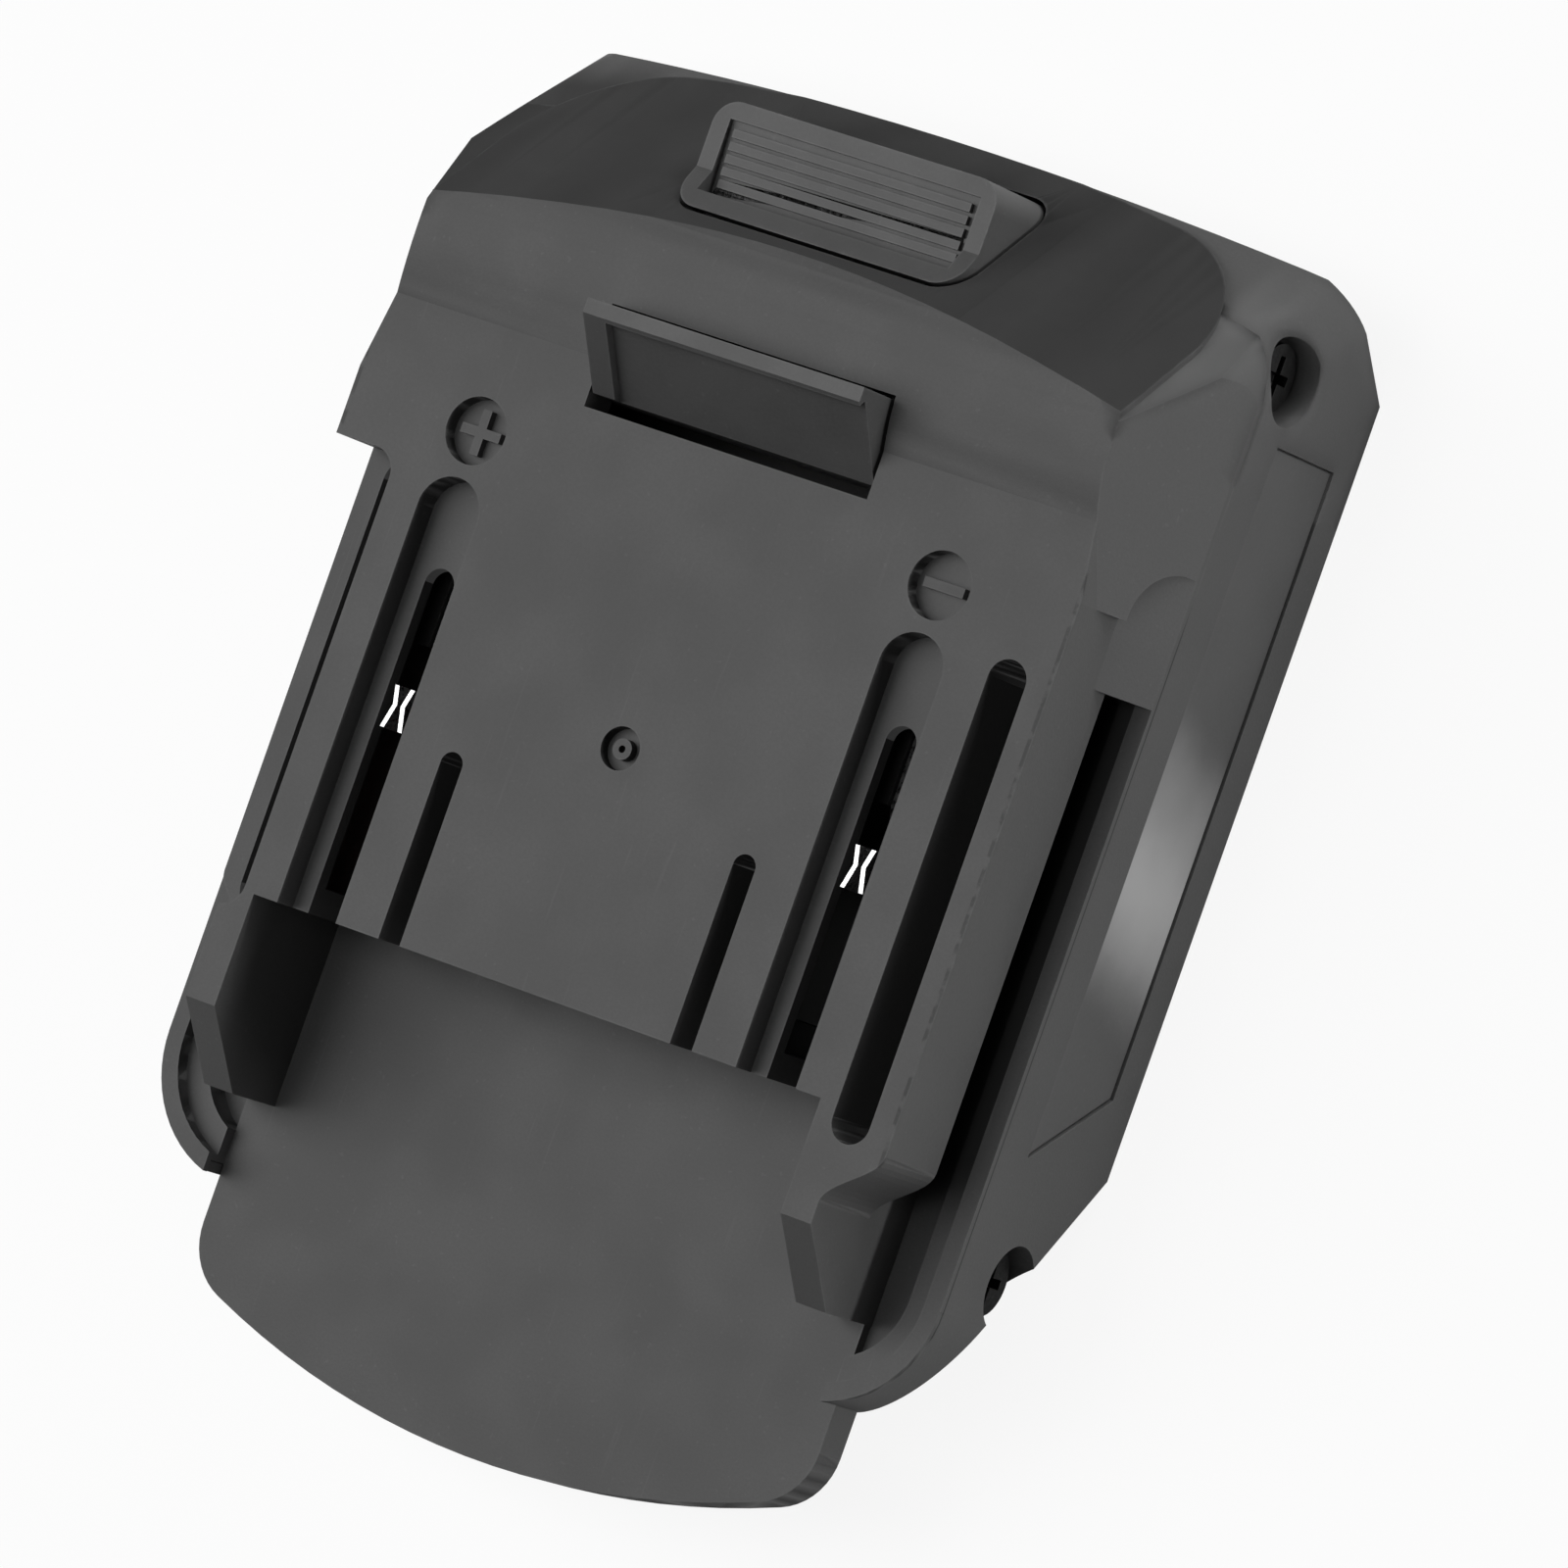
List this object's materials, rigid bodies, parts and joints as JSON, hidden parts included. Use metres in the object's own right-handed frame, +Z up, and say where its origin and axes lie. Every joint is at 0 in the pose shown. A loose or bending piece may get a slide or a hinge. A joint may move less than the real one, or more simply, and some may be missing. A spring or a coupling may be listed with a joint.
{
  "type": "tool battery adapter",
  "caption": "Slide-on battery adapter for cordless tools: railed tool plate with contact slots, a sprung release button with hook, and a battery receptacle underneath.",
  "frame": {"origin": "under the middle of the part, on the face it rests on", "axes": "+Y to the release button end, +X to the minus contact, +Z up to the tool plate and the hook"},
  "size_m": [0.074, 0.11, 0.0355],
  "materials": {
    "shell": "fine moulded texture, dark grey",
    "latch": "fine moulded texture, dark grey",
    "panel": "blank glossy inlay",
    "insulator": "moulded insulator",
    "tinned": "tinned copper alloy",
    "blade": "plain brass",
    "spring": "spring wire",
    "screw": "blackened steel",
    "lead_red": "silicone insulation",
    "lead_black": "silicone insulation"
  },
  "bodies": {
    "housing": {"upper_shell": "shell", "lower_shell": "shell", "latch_spring_left": "spring", "latch_spring_right": "spring", "contact_carrier": "insulator", "positive_clip": "tinned", "negative_clip": "tinned", "terminal_block": "insulator", "positive_blade": "blade", "negative_blade": "blade", "positive_lead": "lead_red", "negative_lead": "lead_black", "positive_sleeve": "lead_red", "negative_sleeve": "lead_black", "shell_screws": "screw", "carrier_screws": "screw", "terminal_screws": "screw", "side_panel_left": "panel", "side_panel_right": "panel"},
    "latch": {"latch_slider": "latch"}
  },
  "joints": [
    {"name": "latch_press", "type": "slide", "parent": "housing", "child": "latch", "axis": [0, 0, -1], "range_m": [0, 0.0055], "stiffness_N_per_m": 500, "springref_m": -0.004, "deforming": ["latch_spring_left", "latch_spring_right"]}
  ]
}
